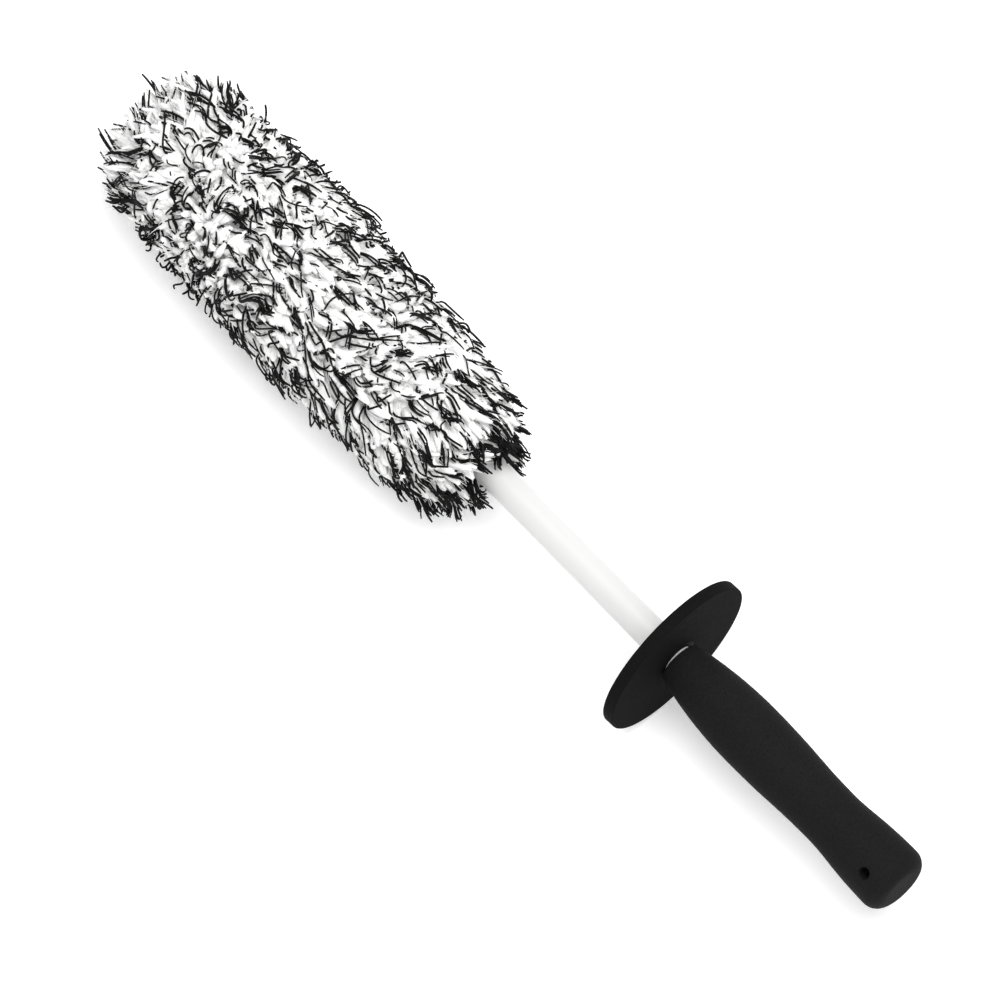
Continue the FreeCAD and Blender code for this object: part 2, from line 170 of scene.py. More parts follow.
def knit_cloth():
    m = Material("knit_cloth", 0.9, Sheen_Weight=0.2)
    colour = m.ramp(m.noise(900, 4), (0.3, (0.55, 0.55, 0.54)), (0.7, (0.76, 0.76, 0.75)))
    colour = m.shade(colour, m.noise(60), 0.2)
    rough = m.span(m.noise(1200), 0.8, 1.0)
    return m.finish(colour, rough, m.bump(m.noise(2600, 3), 0.0001, 0.8))


def dark_tape():
    m = Material("dark_tape", 0.8, Sheen_Weight=0.2)
    twill = m.wave(420, "DIAGONAL")
    colour = m.ramp(twill, (0.2, grey(0.008)), (0.8, grey(0.03)))
    colour = m.shade(colour, m.noise(500), 0.4)
    rough = m.span(m.noise(900), 0.7, 0.95)
    return m.finish(colour, rough, m.bump(twill, 0.00012, 0.7))


def thread():
    m = Material("seam_thread", 0.7, Sheen_Weight=0.2)
    colour = m.ramp(m.noise(1500), (0.3, grey(0.03)), (0.7, grey(0.09)))
    rough = m.span(m.noise(900), 0.6, 0.85)
    return m.finish(colour, rough, m.bump(m.wave(1800, "DIAGONAL"), 0.00006, 0.6))


def core_foam():
    m = Material("core_foam", 0.9)
    pores = m.cells(1500)
    # The pores are darker towards their middles, where the bump sinks them: painted shade in the hollows.
    colour = m.ramp(pores, (0.0, (0.22, 0.22, 0.21)), (0.35, (0.55, 0.55, 0.53)), (1.0, (0.66, 0.66, 0.64)))
    colour = m.shade(colour, m.noise(45), 0.2)
    rough = m.span(m.noise(700), 0.8, 1.0)
    return m.finish(colour, rough, m.bump(pores, 0.0003, 0.8))


def grip_foam():
    m = Material("grip_foam", 0.7, Specular_IOR_Level=0.03)
    colour = m.ramp(m.noise(1400, 4), (0.3, (0.0085, 0.0085, 0.0087)), (0.7, (0.0145, 0.0145, 0.0148)))
    colour = m.shade(colour, m.noise(28), 0.22)
    rough = m.span(m.noise(700, 3), 0.55, 0.8)
    grain = m.bump(m.noise(2600, 3), 0.00012, 0.5)
    return m.finish(colour, rough, m.bump(m.cells(900), 0.0001, 0.35, grain))


def guard_rubber():
    m = Material("guard_rubber", 0.7, Specular_IOR_Level=0.025)
    colour = m.ramp(m.noise(1200, 4), (0.3, (0.005, 0.005, 0.0052)), (0.7, (0.009, 0.009, 0.0092)))
    colour = m.shade(colour, m.noise(35), 0.2)
    rough = m.span(m.noise(600, 3), 0.65, 0.9)
    return m.finish(colour, rough, m.bump(m.noise(2200, 3), 0.0001, 0.45))


def soft_rubber(name, dark, light, gloss=0.4):
    m = Material(name, 0.6, Specular_IOR_Level=gloss)
    colour = m.ramp(m.noise(900, 3), (0.3, grey(dark)), (0.7, grey(light)))
    rough = m.span(m.noise(500), 0.45, 0.7)
    return m.finish(colour, rough, m.bump(m.noise(1800, 2), 0.00008, 0.4))


def white_tube():
    """Plastic that lets a little light through."""
    m = Material("white_tube", 0.4, IOR=1.49, Specular_IOR_Level=0.35, Subsurface_Weight=0.4,
                 Subsurface_Scale=0.004, Subsurface_Radius=(1, 1, 1))
    drawn = m.noise(90, 3, stretch=(0.04, 1, 1))
    colour = m.ramp(drawn, (0.3, (0.62, 0.62, 0.616)), (0.7, (0.66, 0.66, 0.656)))
    colour = m.shade(colour, m.noise(14), 0.03)
    rough = m.span(drawn, 0.35, 0.5)
    return m.finish(colour, rough, m.bump(drawn, 0.00004, 0.25))


# ---------------------------------------------------------------- meshes


def mesh_from(name, points, quads, triangles=(), smooth=True):
    mesh = bpy.data.meshes.new(name)
    points = np.asarray(points, np.float32).reshape(-1, 3)
    quads = np.asarray(quads, np.int32).reshape(-1, 4)
    triangles = np.asarray(triangles, np.int32).reshape(-1, 3)
    mesh.vertices.add(len(points))
    mesh.vertices.foreach_set("co", points.ravel())
    corners = np.concatenate([quads.ravel(), triangles.ravel()])
    starts = np.concatenate([np.arange(len(quads)) * 4, len(quads) * 4 + np.arange(len(triangles)) * 3])
    mesh.loops.add(len(corners))
    mesh.loops.foreach_set("vertex_index", corners)
    mesh.polygons.add(len(starts))
    mesh.polygons.foreach_set("loop_start", starts.astype(np.int32))
    mesh.update(calc_edges=True)
    mesh.validate()
    if smooth:
        mesh.shade_smooth()
    return mesh


def add_attribute(mesh, name, values):
    layer = mesh.attributes.new(name, "FLOAT", "POINT")
    layer.data.foreach_set("value", np.asarray(values, np.float32).ravel())


def add_piece(name, mesh, material, body, replaced=()):
    piece = bpy.data.objects.new(name, mesh)
    bpy.context.scene.collection.objects.link(piece)
    mesh.materials.append(material)
    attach(piece, body)
    if replaced:
        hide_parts(*replaced)
    return piece


def unit(vectors):
    return vectors / np.maximum(np.linalg.norm(vectors, axis=-1, keepdims=True), 1e-12)


def strand_mesh(name, lines, radii, tint, sides=3, seed=0, ridged=0.0):
    """Closed thin fibres along lines (fibres, rings, 3), with radii (fibres, rings) and ridged sides."""
    count, rings = lines.shape[:2]
    radii = np.broadcast_to(radii, (count, rings))
    rng = np.random.default_rng(seed)
    along = unit(np.gradient(lines, axis=1))
    helper = unit(rng.normal(size=(count, 1, 3)))
    across = unit(np.cross(along, helper))
    third = np.cross(along, across)
    angle = np.arange(sides) * TURN / sides
    ring = np.cos(angle)[:, None] * across[:, :, None] + np.sin(angle)[:, None] * third[:, :, None]
    groove = np.where(np.arange(sides) % 2, 1 + ridged, 1 - ridged)[None, None, :, None]
    uneven = groove * (1 + 0.3 * ridged * rng.normal(0, 1, (count, rings, sides, 1)))
    points = lines[:, :, None] + ring * radii[:, :, None, None] * uneven
    index = np.arange(count * rings * sides, dtype=np.int32).reshape(count, rings, sides)
    beside = np.roll(index, -1, axis=2)
    quads = np.stack([index[:, :-1], beside[:, :-1], beside[:, 1:], index[:, 1:]], axis=-1)
    caps = [c for k in range(1, sides - 1) for c in (
        np.stack([index[:, 0, 0], index[:, 0, k + 1], index[:, 0, k]], axis=-1),
        np.stack([index[:, -1, 0], index[:, -1, k], index[:, -1, k + 1]], axis=-1),
    )]
    mesh = mesh_from(name, points, quads, np.concatenate(caps))
    add_attribute(mesh, "tint", np.broadcast_to(np.asarray(tint)[:, None, None], index.shape))
    add_attribute(mesh, "reach", np.broadcast_to(np.linspace(0, 1, rings)[None, :, None], index.shape))
    return mesh


def around(x, radius, angle):
    """Points at that place along the axis, radius from it and angle about it."""
    return np.stack(np.broadcast_arrays(x, radius * np.cos(angle), AXIS_Z + radius * np.sin(angle)), axis=-1)


def rounded(corners, fillet, step):
    """A closed outline of (x, radius) points through corners, each cut off by a small curve."""
    corners = np.array(corners, float)
    befores, afters = np.roll(corners, 1, axis=0), np.roll(corners, -1, axis=0)
    outline = []
    for before, corner, after in zip(befores, corners, afters, strict=True):
        a, b = before - corner, after - corner
        cut_a = min(fillet, np.linalg.norm(a) / 2.2)
        cut_b = min(fillet, np.linalg.norm(b) / 2.2)
        start, end = corner + unit(a) * cut_a, corner + unit(b) * cut_b
        for t in np.linspace(0, 1, 4):
            outline.append((1 - t) ** 2 * start + 2 * t * (1 - t) * corner + t**2 * end)
    result = []
    for here, there in zip(outline, outline[1:] + outline[:1], strict=True):
        pieces = max(1, round(np.linalg.norm(there - here) / step))
        result += [here + (there - here) * k / pieces for k in range(pieces)]
    return np.array(result)


def lathe(name, outline, segments, relief=None, poles=False):
    """A closed solid turned about the axis. outline is a loop, or with poles a line from axis to axis."""
    outline = np.asarray(outline, float)
    angle = np.arange(segments) * TURN / segments
    rows = outline[1:-1] if poles else outline
    x = np.repeat(rows[:, :1], segments, axis=1)
    radius = np.repeat(rows[:, 1:], segments, axis=1)
    if relief is not None:
        radius = radius + relief(x, radius, angle[None, :])
    points = around(x, radius, angle[None, :]).reshape(-1, 3)
    index = np.arange(len(rows) * segments).reshape(len(rows), segments)
    below = index[:-1] if poles else index
    above = index[1:] if poles else np.roll(index, -1, axis=0)
    quads = np.stack([below, above, np.roll(above, -1, axis=1), np.roll(below, -1, axis=1)], axis=-1)
    triangles = []
    if poles:
        first, last = len(points), len(points) + 1
        points = np.concatenate([points, around(outline[[0, -1], 0], np.zeros(2), np.zeros(2))])
        low, high = index[0], index[-1]
        triangles = np.concatenate([
            np.stack([np.full(segments, first), low, np.roll(low, -1)], axis=-1),
            np.stack([np.full(segments, last), np.roll(high, -1), high], axis=-1),
        ])
    mesh = mesh_from(name, points, quads, triangles)
    add_attribute(mesh, "tint", np.full(len(mesh.vertices), 0.5))
    return mesh


# ---------------------------------------------------------------- the pile

# Each row says where a fibre leaves the backing and where its tip would lie in a full pile:
# root x, root radius, tip x, tip radius. The rows run from the middle of the tip to the mouth, and a place
# among them is a number from 0 to 14.
PILE_ROWS = np.array([
    (-207.6, 1.0, -230.5, 2.0),
    (-206.0, 8.0, -229.0, 14.0),
    (-202.5, 13.0, -224.0, 23.5),
    (-197.0, 16.8, -214.0, 30.5),
    (-189.0, 19.2, -199.0, 33.0),
    (-180.0, 19.5, -183.0, 34.8),
    (-165.0, 19.5, -159.0, 36.5),
    (-140.0, 19.5, -130.0, 36.8),
    (-90.0, 19.5, -79.0, 35.0),
    (-70.0, 19.5, -58.0, 32.6),
    (-58.0, 19.5, -45.0, 30.5),
    (-50.0, 19.2, -35.0, 29.0),
    (-40.0, 17.0, -23.0, 26.0),
    (-32.0, 13.0, -15.0, 18.5),
    (-26.0, 10.8, -9.0, 11.0),
]) * MM
# By place, the share of its radius that the pile gains on the -Y side and loses on the +Y side.
SLUMP = ((6.5, 8.5, 11.0, 12.5, 14.0), (0.0, 0.06, 0.1, 0.19, 0.14))
# Places where the look of the tip gives way to that of the body, and where the mouth and its fringe begin.
TIP_FADE = (2.5, 4.5)
RUFFLE_FADE = (2.8, 4.6)
TIP_END = 4.0
MOUTH_START = 10.6
FRINGE_START = 12.2
GOLDEN = (math.sqrt(5) - 1) / 2


def pile_places(count, seed):
    """Even but irregular spots on the head: (place among the rows, angle) of each lock."""
    rng = np.random.default_rng(seed)
    tips = PILE_ROWS[:, 2:]
    steps = np.linalg.norm(np.diff(tips, axis=0), axis=1)
    fine = np.linspace(0, len(PILE_ROWS) - 1, 800)
    rows = np.arange(len(PILE_ROWS))
    radius = np.interp(fine, rows, tips[:, 1])
    speed = steps[np.minimum(fine.astype(int), len(steps) - 1)]
    area = np.cumsum(radius * speed)
    number = np.arange(count)
    share = (number + 0.5 + rng.uniform(-0.5, 0.5, count) * math.sqrt(count)) / count
    place = np.interp(np.clip(share, 0.0005, 0.9995), area / area[-1], fine)
    angle = TURN * ((number * GOLDEN) % 1) + rng.normal(0, 0.03, count)
    return place, angle


def whorl(place, angle):
    """The sideways lean that neighbouring locks share, from -1 to 1."""
    return (
        0.5 * np.sin(2 * angle + 0.9 * place + 0.4)
        + 0.35 * np.sin(3 * angle - 1.7 * place + 2.1)
        + 0.3 * np.sin(5 * angle + 2.6 * place + 4.0)
        + 0.25 * np.sin(9 * angle - 3.9 * place + 1.0)
    )


def swirl(place, angle):
    """How neighbouring fibres' free ends turn away together: (count, 3) along, sideways and outwards."""

    def blend(parts):
        return sum(size * np.sin(turns * angle + step * place + start) for size, turns, step, start in parts)

    along = blend([(0.6, 2, -1.3, 0.5), (0.5, 5, 1.9, 3.3), (0.45, 8, -2.7, 1.2), (0.4, 13, 3.7, 5.1)])
    sideways = blend([(0.6, 3, 1.1, 2.2), (0.55, 6, -2.3, 4.4), (0.5, 9, 3.1, 0.3), (0.4, 14, -4.1, 2.9)])
    return np.stack([along, sideways, 0.1 * along], axis=-1)


def tousled(place, rng):
    """How the fibres on the tip of the head are ruffled: (count, 3) along, sideways and outwards."""
    ruffle = np.interp(place, RUFFLE_FADE, [1, 0])[:, None]
    turned = rng.normal(0, 1, (len(place), 3)) * np.array([1.5, 4.5, 3.5])
    turned[:, 0] = np.abs(turned[:, 0]) * 1.5
    return turned * ruffle * MM


def fibres(place, angle, length, side, stand, offsets, curl, bend, ease, rings, seed, group=None):
    """Lines of fibres in the pile, from the backing outwards.

    side is the sideways lean of the tip in metres, stand how soon a fibre reaches its height, and curl the
    size of its waves. offsets move its root and its tip, and bend (fibres, 3) is how far its free end turns
    away along the brush, sideways and outwards. ease below 1 puts more rings near the tip. Fibres with the
    same number in group wave together.
    """
    early_lean, free_from, wave_limit = 0.18, 0.45, 1.5
    least_radius, bent_from, bent_over = 8 * MM, 14 * MM, 16 * MM
    rng = np.random.default_rng(seed)
    count = len(place)
    group = np.arange(count) if group is None else group
    rows = np.arange(len(PILE_ROWS))
    root_x, root_r, tip_x, tip_r = (np.interp(place, rows, PILE_ROWS[:, k]) for k in range(4))
    tip_x = root_x + (tip_x - root_x) * length
    tip_r = root_r + (tip_r * (1 - np.interp(place, *SLUMP) * np.cos(angle)) - root_r) * length
    t = np.linspace(0, 1, rings)[None, :] ** ease
    a, b, c = (1 - t) ** 2, 2 * t * (1 - t), t**2
    mid_x = root_x + (tip_x - root_x) * early_lean
    mid_r = root_r + (tip_r - root_r) * stand
    x = a * root_x[:, None] + b * mid_x[:, None] + c * tip_x[:, None]
    radius = a * root_r[:, None] + b * mid_r[:, None] + c * tip_r[:, None]
    sideways = (b * 0.25 + c) * side[:, None]
    root_off, tip_off = offsets
    free = (np.maximum(t - free_from, 0) / (1 - free_from)) ** 2
    groups = int(group.max()) + 1
    phase = rng.uniform(0, TURN, (groups, 3, 1))[group] + rng.normal(0, 0.2, (count, 3, 1))
    turns = rng.uniform(0.8, 1.8, (groups, 3, 1))[group]
    size = curl[:, None] * np.clip(rng.normal(0, 1, (groups, 3)), -wave_limit, wave_limit)[group]
    waves = np.sin(TURN * turns * t[:, None] + phase) * size[:, :, None] * t[:, None]
    x = x + root_off[:, :1] * (1 - t) + tip_off[:, :1] * t + bend[:, :1] * free + waves[:, 0]
    sideways = sideways + root_off[:, 1:2] * (1 - t) + tip_off[:, 1:2] * t
    sideways = sideways + bend[:, 1:2] * free + waves[:, 1]
    radius = radius + tip_off[:, 2:] * t + bend[:, 2:] * free + waves[:, 2] * 0.6
    clear_of_shaft = (SHAFT_RADIUS + 0.8 * MM) * np.interp(place, [2, TIP_END], [0, 1])
    radius = np.maximum(radius, clear_of_shaft[:, None])
    # Far from the axis a sideways lean follows the curve of the head, and near it the lean is straight.
    outer = np.maximum(tip_r[:, None], least_radius)
    bent = np.clip((outer - bent_from) / bent_over, 0, 1)
    lines = around(x, radius, angle[:, None] + bent * sideways / outer)
    straight = (1 - bent) * sideways
    lines[..., 1] -= straight * np.sin(angle[:, None])
    lines[..., 2] += straight * np.cos(angle[:, None])
    floor_gap = rng.uniform(0.4, 1.6, (count, 1)) * MM
    lines[..., 2] = np.maximum(lines[..., 2], floor_gap)
    return lines


def add_strands(kind, material, place, lines, radii, tint, sides, parts, ridged=0.0):
    """Fibres as a few pieces side by side along the head, because one piece would be too heavy to handle."""
    order = np.array_split(np.argsort(place, kind="stable"), parts)
    for part, chosen in enumerate(order, start=1):
        name = f"pile_{kind}_{part}"
        mesh = strand_mesh(name, lines[chosen], radii[chosen], tint[chosen], sides, part, ridged)
        node = "pile_tip" if part == 1 else "pile_skirt" if part == parts else "pile_body"
        add_piece(name, mesh, material, "cover", [node] if kind == "locks" else ())


def add_white_pile(material, locks=3600, around_each=6):
    """Soft white locks, each a thick tapering bundle with finer fibres along it."""
    draw_seed, place_seed, shape_seed = 11, 12, 13
    rng = np.random.default_rng(draw_seed)
    place, angle = pile_places(locks, place_seed)
    lean = whorl(place, angle) * 7 * MM + rng.normal(0, 2.6, locks) * MM
    size = rng.normal(0.84, 0.055, locks) + np.interp(place, [2, 4, 12, 14], [0.07, 0, 0, -0.2])
    stand = rng.uniform(0.65, 0.95, locks)
    tone = rng.uniform(0.35, 1, locks)
    bend = (swirl(place, angle) * 3.6 + rng.normal(0, 1, (locks, 3)) * np.array([1.6, 1.9, 0.5])) * MM
    curl = rng.uniform(0.3, 0.9, locks) * np.interp(place, TIP_FADE, [1.6, 1]) * MM
    bend += tousled(place, rng)
    still = np.zeros((locks, 3))
    ease, rings = 0.75, 8
    lines = fibres(place, angle, size, lean, stand, (still, still), curl, bend, ease, rings, shape_seed)
    thick = np.interp(np.linspace(0, 1, rings), [0, 0.4, 0.75, 0.93, 1], [1.0, 1.7, 1.75, 1.3, 0.6]) * MM
    slim = np.interp(place, TIP_FADE, [0.72, 1])
    radii = thick[None, :] * (slim * rng.uniform(0.75, 1.25, locks))[:, None]
    add_strands("locks", material, place, lines, radii, tone, sides=10, parts=4, ridged=0.17)

    lock = np.repeat(np.arange(locks), around_each)
    count = len(lock)
    spread = rng.normal(0, 1, (count, 3)) * np.array([1.3, 1.3, 0.9]) * MM
    offsets = (spread, spread * rng.uniform(0.7, 1.4, (count, 1)))
    length = size[lock] + rng.uniform(-0.08, 0.07, count)
    shared = bend[lock] + rng.normal(0, 0.8, (count, 3)) * MM
    waves = curl[lock] * 1.2
    rings = 6
    lines = fibres(place[lock], angle[lock], length, lean[lock], stand[lock], offsets, waves, shared,
                   ease, rings, shape_seed, lock)
    tint = np.clip(tone[lock] + rng.normal(0, 0.15, count), 0, 1)
    thin = np.interp(np.linspace(0, 1, rings), [0, 0.6, 1], [0.24, 0.24, 0.08]) * MM
    add_strands("fluff", material, place[lock], lines, np.tile(thin, (count, 1)), tint, sides=3, parts=4)


def add_black_pile(material, tufts=1750):
    """Black threads that stand out of the white locks and curl over them, alone or a few together."""
    draw_seed, place_seed, shape_seed = 21, 22, 23
    rng = np.random.default_rng(draw_seed)
    place, angle = pile_places(tufts, place_seed)
    keep = rng.uniform(0, 1, tufts) < np.interp(place, TIP_FADE, [0.95, 1])
    place, angle, tufts = place[keep], angle[keep], np.count_nonzero(keep)
    at_tip, at_mouth, in_fringe = place < TIP_END, place > MOUTH_START, place > FRINGE_START
    lean = whorl(place, angle) * np.where(at_mouth, 4, 7) * MM + rng.normal(0, 2.8, tufts) * MM
    size = rng.normal(0.93, 0.06, tufts) + 0.05 * at_mouth + 0.05 * at_tip
    stand = rng.uniform(0.95, 1.2, tufts)
    wander = rng.normal(0, 1, (tufts, 3)) * np.array([3.0, 3.2, 0.6])
    bend = (swirl(place, angle) * 2.4 + wander) * MM
    bend[:, 0] += 2.0 * MM * ~at_tip * ~at_mouth
    bend += tousled(place, rng) * 1.3
    spiky = rng.uniform(0, 1, tufts) < 0.3
    bend[:, 2] += spiky * rng.uniform(1.0, 3.0, tufts) * MM
    bend[at_mouth, 0] = np.minimum(bend[at_mouth, 0], 1 * MM) * 0.5
    bend[at_mouth, 1] *= 0.55
    number = rng.choice([1, 2, 3, 5], tufts, p=[0.54, 0.28, 0.12, 0.06])
    number = number + at_mouth + 3 * in_fringe + (at_tip & spiky)
    tuft = np.repeat(np.arange(tufts), number)
    count = len(tuft)
    root = rng.normal(0, 0.7, (count, 3)) * MM
    offsets = (root, root * 1.1 + rng.normal(0, 1, (count, 3)) * np.array([0.8, 0.6, 0.3]) * MM)
    length = np.clip(size[tuft] + rng.normal(0, 0.05, count), 0.7, 1.1)
    curl = rng.uniform(1.2, 2.7, tufts)[tuft] * np.interp(place[tuft], [3, 5], [0.7, 1]) * MM
    turned = bend[tuft] * rng.uniform(0.8, 1.15, (count, 1)) + rng.normal(0, 0.6, (count, 3)) * MM
    inwards = np.where(place[tuft] < RUFFLE_FADE[1], -8, -1.2) * MM
    turned[:, 2] = np.clip(turned[:, 2], inwards, 3.0 * MM)
    ease, rings = 0.6, 14
    lines = fibres(place[tuft], angle[tuft], length, lean[tuft], stand[tuft], offsets, curl, turned,
                   ease, rings, shape_seed, tuft)
    radii = np.interp(np.linspace(0, 1, rings), [0, 0.9, 1], [0.46, 0.46, 0.34])[None, :] * MM
    radii = radii * rng.uniform(0.72, 1.15, (count, 1))
    add_strands("threads", material, place[tuft], lines, radii, rng.uniform(0, 1, count), sides=5, parts=3)


def add_underfur(material):
    """The dense short fibres between the locks, as one soft uneven body round the backing."""
    rows = np.arange(len(PILE_ROWS))
    fine = np.linspace(0, len(PILE_ROWS) - 1, 260)
    root_x, root_r, tip_x, tip_r = (np.interp(fine, rows, PILE_ROWS[:, k]) for k in range(4))
    along, outwards = 0.42, 0.5
    outline = np.stack([root_x + (tip_x - root_x) * along, root_r + (tip_r - root_r) * outwards], axis=-1)
    start, end = outline[0], outline[-1]
    inner = [(end[0] - 1 * MM, root_r[-1] - 1 * MM), (start[0] + 10 * MM, 17 * MM), (start[0] + 8 * MM, 0)]
    outline = np.concatenate([[(start[0] - 0.2 * MM, 0)], outline, inner])

    def relief(x, radius, angle):
        flow = 24 * angle - x / MM * 0.9
        cross = 17 * angle + x / MM * 1.3
        lumps = np.sin(flow + 1.5 * np.sin(cross * 0.31)) * np.sin(cross + 1.3 * np.sin(flow * 0.23))
        fine_lumps = np.sin(2.3 * flow + 3 * lumps) * 0.35
        return (lumps + fine_lumps) * 0.9 * MM * np.clip((radius - 10 * MM) / (8 * MM), 0, 1)

    mesh = lathe("pile_underfur", outline, segments=300, relief=relief, poles=True)
    # A reach part way up the fibres gives the underfur some of the fibres' painted shade towards the roots.
    add_attribute(mesh, "reach", np.full(len(mesh.vertices), 0.55))
    add_piece("pile_underfur", mesh, material, "cover")


# ---------------------------------------------------------------- cloth, foam and thread

WALES = 24
FOAM_SEGMENTS = 128


def knit_relief(x, radius, angle):
    """The rows of loops that stand up on knitted cloth."""
    wale = np.abs(np.sin(WALES * angle))
    course = 0.5 + 0.5 * np.sin(TURN * x / (3.2 * MM) + 1.6 * np.cos(2 * WALES * angle))
    depth = 0.28 * MM * np.clip(radius / (10 * MM), 0, 1)
    return (wale * (0.4 + 0.6 * course) - 0.5) * depth


def dome(tip_x, rim_x, rim_radius, steps=16):
    """Points of a blunt dome, from the axis at tip_x to its rim."""
    turn = np.linspace(0, math.pi / 2, steps)
    return np.stack([rim_x - (rim_x - tip_x) * np.cos(turn), rim_radius * np.sin(turn) ** 0.85], axis=-1)


def node_outer(name):
    low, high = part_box(name)
    return (high.y - low.y) / 2


def add_backing(material):
    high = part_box("cover_backing")[1]
    outer = node_outer("cover_backing")
    inner = outer - KNIT_WALL
    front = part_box("cover_tip_seam")[0].x + 0.3 * MM
    loop = rounded([(front, inner), (high.x, inner), (high.x, outer), (front, outer)], 0.4 * MM, 0.8 * MM)
    mesh = lathe("knit_tube", loop, 6 * WALES, knit_relief)
    tube = add_piece("knit_tube", mesh, material, "cover", ["cover_backing"])
    middle = (outer + inner) / 2
    return tube, (TURN * middle, high.x - front)


def add_neck(material):
    """The end of the sleeve, gathered from the core's size to the shaft's."""
    low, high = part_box("cover_neck")
    start, end = low.x, high.x
    wide, narrow = node_outer("cover_neck"), node_outer("cover_elastic")
    t = np.linspace(0, 1, 22)
    ease = 0.5 - 0.5 * np.cos(math.pi * t)
    outer = np.stack([start + (end - start) * t, wide + (narrow - wide) * ease], axis=-1)
    inner = outer[::-1] - np.array([0, KNIT_WALL])

    def gathers(x, radius, angle):
        share = np.clip((x - start) / (end - start), 0, 1)
        fold = np.sin(15 * angle + 0.8 * np.sin(3 * angle))
        return knit_relief(x, radius, angle) + 0.45 * MM * share * fold

    mesh = lathe("knit_neck", np.concatenate([outer, inner]), 6 * WALES, gathers)
    return add_piece("knit_neck", mesh, material, "cover", ["cover_neck"])


def add_tip_panel(material):
    low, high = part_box("cover_tip_panel")
    outer = node_outer("cover_tip_panel")
    inside = dome(low.x + KNIT_WALL, high.x, outer - KNIT_WALL)
    line = np.concatenate([dome(low.x, high.x, outer), inside[::-1]])
    mesh = lathe("knit_tip_panel", line, 6 * WALES, knit_relief, poles=True)
    return add_piece("knit_tip_panel", mesh, material, "cover", ["cover_tip_panel"])


def add_hem(material, rubber):
    low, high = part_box("cover_mouth_hem")
    outer, wall, tape = node_outer("cover_mouth_hem"), 3.2 * MM, 0.9 * MM
    inner = outer - wall
    band_low, band_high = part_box("cover_elastic")
    band_outer = node_outer("cover_elastic")
    pocket = (band_outer - KNIT_WALL, band_outer)
    loop = rounded([
        (low.x, outer), (high.x, outer), (high.x, inner), (low.x, inner),
        (low.x, inner + tape), (band_high.x, pocket[0]), (band_high.x, pocket[1]), (low.x, outer - tape),
    ], 0.7 * MM, 0.4 * MM)

    def pull(x, radius, angle):
        return 0.12 * MM * np.sin(26 * angle + 1.1 * np.sin(5 * angle)) * (radius > 9 * MM)

    mesh = lathe("hem_tape", loop, segments=208, relief=pull)
    hem = add_piece("hem_tape", mesh, material, "cover", ["cover_mouth_hem"])
    gap = 0.06 * MM
    ring = rounded([
        (band_low.x, pocket[0] + gap), (band_high.x - gap, pocket[0] + gap),
        (band_high.x - gap, pocket[1] - gap), (band_low.x, pocket[1] - gap),
    ], 0.3 * MM, 0.25 * MM)

    def ribs(x, radius, angle):
        return -0.07 * MM * (0.5 + 0.5 * np.sin(90 * angle))

    mesh = lathe("elastic_band", ring, segments=360, relief=ribs)
    add_piece("elastic_band", mesh, rubber, "cover", ["cover_elastic"])
    return hem


def stitch_row(name, starts, ends, lift, thick, rings=7):
    """Separate stitches from one (x, radius, angle) to another, each arched up by lift."""
    starts, ends = np.asarray(starts, float), np.asarray(ends, float)
    t = np.linspace(0, 1, rings)[None, :, None]
    path = starts[:, None] * (1 - t) + ends[:, None] * t
    rise = lift * (np.sin(math.pi * t[..., 0]) ** 0.6 - 0.6)
    lines = around(path[..., 0], path[..., 1] + rise, path[..., 2])
    radii = np.interp(np.linspace(0, 1, rings), [0, 0.15, 0.85, 1], [0.7, 1, 1, 0.7]) * thick
    return strand_mesh(name, lines, radii, np.full(len(starts), 0.5), sides=6)


def add_stitching(material):
    """Overlocked seams down the side of the sleeve and round its tip, and the stitches of the hem."""
    low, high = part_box("cover_side_seam")
    outer = node_outer("cover_backing") + 0.15 * MM
    pitch = 1.5 * MM
    x = np.arange(low.x + 1 * MM, high.x - 1 * MM, pitch)
    near, far = np.radians(-1), np.radians(-9)
    at = np.full_like(x, outer)
    across = ([x, at, np.full_like(x, near)], [x + 0.7 * MM, at, np.full_like(x, far)])
    back = ([x + 0.7 * MM, at, np.full_like(x, far)], [x + pitch, at, np.full_like(x, near)])
    starts = np.concatenate([np.transpose(across[0]), np.transpose(back[0])])
    ends = np.concatenate([np.transpose(across[1]), np.transpose(back[1])])
    mesh = stitch_row("side_seam_thread", starts, ends, lift=0.3 * MM, thick=0.26 * MM)
    side = add_piece("side_seam_thread", mesh, material, "cover", ["cover_side_seam"])

    low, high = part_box("cover_tip_seam")
    angle = np.linspace(0, TURN, 72, endpoint=False)
    at = np.full_like(angle, outer)
    starts = np.transpose([np.full_like(angle, low.x - 0.9 * MM), at - 0.15 * MM, angle])
    ends = np.transpose([np.full_like(angle, high.x + 0.6 * MM), at, angle + 0.05])
    mesh = stitch_row("tip_seam_thread", starts, ends, lift=0.4 * MM, thick=0.3 * MM)
    tip = add_piece("tip_seam_thread", mesh, material, "cover", ["cover_tip_seam"])

    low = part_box("cover_mouth_hem")[0]
    outer = node_outer("cover_mouth_hem") + FIT
    angle = np.linspace(0, TURN, 34, endpoint=False)
    at = np.full_like(angle, outer)
    row = np.full_like(angle, low.x + 1.1 * MM)
    starts = np.transpose([row, at, angle])
    ends = np.transpose([row, at, angle + 0.12])
    mesh = stitch_row("hem_stitches", starts, ends, lift=0.25 * MM, thick=0.22 * MM)
    hem = add_piece("hem_stitches", mesh, material, "cover")
    return side, tip, hem


def foam_relief(x, radius, angle):
    """Foam cut a little unevenly and a little small on its outside."""
    outside = radius > 12 * MM
    lumps = np.sin(7 * angle + 210 * x) * np.sin(3 * angle - 330 * x + 1) + 0.6 * np.sin(13 * angle + 610 * x)
    return 0.12 * MM * lumps * outside - 0.1 * MM * outside


